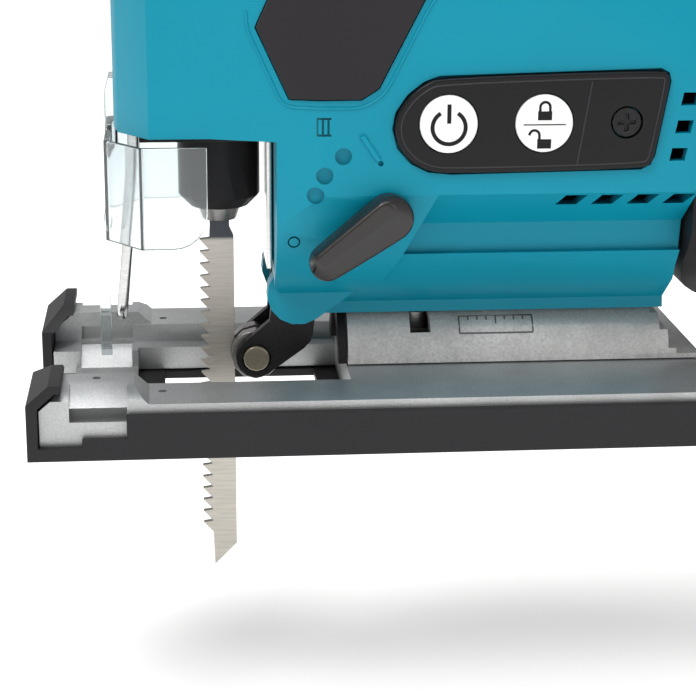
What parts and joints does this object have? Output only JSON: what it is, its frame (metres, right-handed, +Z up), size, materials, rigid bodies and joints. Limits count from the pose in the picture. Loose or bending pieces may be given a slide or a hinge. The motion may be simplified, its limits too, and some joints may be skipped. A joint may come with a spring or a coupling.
{
  "type": "jigsaw",
  "caption": "Cordless barrel-grip jigsaw with a tilting cast shoe, reciprocating saw blade, guide roller, clear chip cover, side switch panel and slide-on battery.",
  "frame": {"origin": "middle of the sole's flat underside", "axes": "-X is the cutting direction, +X points to the battery, +Z points up, -Y is the tool's left side"},
  "size_m": [0.262, 0.077, 0.1967],
  "materials": {
    "cast_aluminium": "satin",
    "black_resin": "fine moulded grain",
    "teal_resin": "satin moulded",
    "elastomer": "matt",
    "button_white": "satin",
    "black_steel": "black oxide",
    "bright_steel": "ground",
    "blade_steel": "ground",
    "bronze": "sintered",
    "winding": "enamelled wire and laminations",
    "clear_resin": "polished",
    "circuit_board": "coated",
    "cell_steel": "sleeved"
  },
  "bodies": {
    "shoe": {"shoe_base": "cast_aluminium", "bevel_saddle": "cast_aluminium", "saddle_ring": "black_resin", "shoe_cover_plate": "black_resin"},
    "tool": {"housing_left": "teal_resin", "housing_right": "teal_resin", "side_grip_left": "elastomer", "side_grip_right": "elastomer", "control_panel_left": "black_resin", "control_panel_right": "black_resin", "panel_screw_left": "black_steel", "panel_screw_right": "black_steel", "barrel_grip": "elastomer", "bevel_bolt": "bright_steel", "gear_case": "cast_aluminium", "gear_shaft": "bright_steel", "lower_guide_bush": "bronze", "upper_guide_bush": "bronze", "front_bearing": "bright_steel", "rear_bearing": "bright_steel", "motor_stator": "winding", "swing_pin": "bright_steel", "finger_guard": "bright_steel", "nose_plate": "black_resin", "front_plate": "bright_steel", "rear_cover": "black_resin", "lamp_lens": "clear_resin", "controller_board": "circuit_board", "terminal_block": "black_resin", "housing_screw_1": "black_steel", "housing_screw_2": "black_steel", "housing_screw_3": "black_steel", "housing_screw_4": "black_steel", "housing_screw_5": "black_steel", "housing_screw_6": "black_steel", "housing_screw_7": "black_steel"},
    "plunger": {"plunger_rod": "bright_steel", "clamp_collar": "bright_steel", "saw_blade": "blade_steel"},
    "sleeve": {"clamp_sleeve": "black_resin"},
    "rotor": {"motor_rotor": "bright_steel", "pinion_shaft": "bright_steel", "cooling_fan": "black_resin"},
    "gear": {"drive_gear": "bright_steel"},
    "guide": {"guide_arm": "black_steel", "roller_pin": "bright_steel"},
    "roller": {"guide_roller": "bright_steel"},
    "lever": {"orbit_lever": "black_resin"},
    "cover": {"chip_cover": "clear_resin"},
    "power_left": {"power_button_left": "button_white"},
    "power_right": {"power_button_right": "button_white"},
    "lock_left": {"lock_button_left": "button_white"},
    "lock_right": {"lock_button_right": "button_white"},
    "dial": {"speed_dial": "black_resin"},
    "battery": {"battery_tub": "black_resin", "battery_lid": "black_resin", "battery_cells": "cell_steel"},
    "release": {"battery_release": "black_resin"}
  },
  "joints": [
    {"name": "bevel_tilt", "type": "hinge", "parent": "shoe", "child": "tool", "pos_m": [0.009, 0, 0.0111], "axis": [1, 0, 0], "range_deg": [-45, 45]},
    {"name": "blade_stroke", "type": "slide", "parent": "tool", "child": "plunger", "axis": [0, 0, 1], "range_m": [-0.013, 0.013]},
    {"name": "clamp_twist", "type": "hinge", "parent": "plunger", "child": "sleeve", "pos_m": [-0.0336, 0, 0.052], "axis": [0, 0, 1], "range_deg": [0, 40], "stiffness_Nm_per_rad": 0.05},
    {"name": "gear_spin", "type": "hinge", "parent": "tool", "child": "gear", "pos_m": [-0.02, 0, 0.1025], "axis": [1, 0, 0], "continuous": true},
    {"name": "motor_spin", "type": "hinge", "parent": "tool", "child": "rotor", "pos_m": [0.03, 0, 0.1245], "axis": [1, 0, 0], "continuous": true},
    {"name": "guide_swing", "type": "hinge", "parent": "tool", "child": "guide", "pos_m": [-0.0175, 0, 0.0275], "axis": [0, 1, 0], "range_deg": [-4, 0], "stiffness_Nm_per_rad": 0.6},
    {"name": "roller_spin", "type": "hinge", "parent": "guide", "child": "roller", "pos_m": [-0.0261, 0, 0.0113], "axis": [0, 1, 0], "continuous": true},
    {"name": "orbit_select", "type": "hinge", "parent": "tool", "child": "lever", "pos_m": [-0.0005, -0.031, 0.048], "axis": [0, 1, 0], "range_deg": [0, 86]},
    {"name": "cover_lift", "type": "slide", "parent": "tool", "child": "cover", "axis": [0, 0, 1], "range_m": [0, 0.025]},
    {"name": "power_press_left", "type": "slide", "parent": "tool", "child": "power_left", "axis": [0, 1, 0], "range_m": [0, 0.0008], "stiffness_N_per_m": 600},
    {"name": "power_press_right", "type": "slide", "parent": "tool", "child": "power_right", "axis": [0, -1, 0], "range_m": [0, 0.0008], "stiffness_N_per_m": 600},
    {"name": "lock_press_left", "type": "slide", "parent": "tool", "child": "lock_left", "axis": [0, 1, 0], "range_m": [0, 0.0008], "stiffness_N_per_m": 600},
    {"name": "lock_press_right", "type": "slide", "parent": "tool", "child": "lock_right", "axis": [0, -1, 0], "range_m": [0, 0.0008], "stiffness_N_per_m": 600},
    {"name": "speed_select", "type": "hinge", "parent": "tool", "child": "dial", "pos_m": [0.158, 0, 0.1468], "axis": [0, 1, 0], "range_deg": [0, 270]},
    {"name": "battery_slide", "type": "slide", "parent": "tool", "child": "battery", "axis": [1, 0, 0], "range_m": [0, 0.104]},
    {"name": "release_press", "type": "slide", "parent": "battery", "child": "release", "axis": [0, 0, -1], "range_m": [0, 0.0025], "stiffness_N_per_m": 500}
  ],
  "couplings": [
    {"joint": "motor_spin", "follows": "gear_spin", "ratio": -4.5}
  ]
}
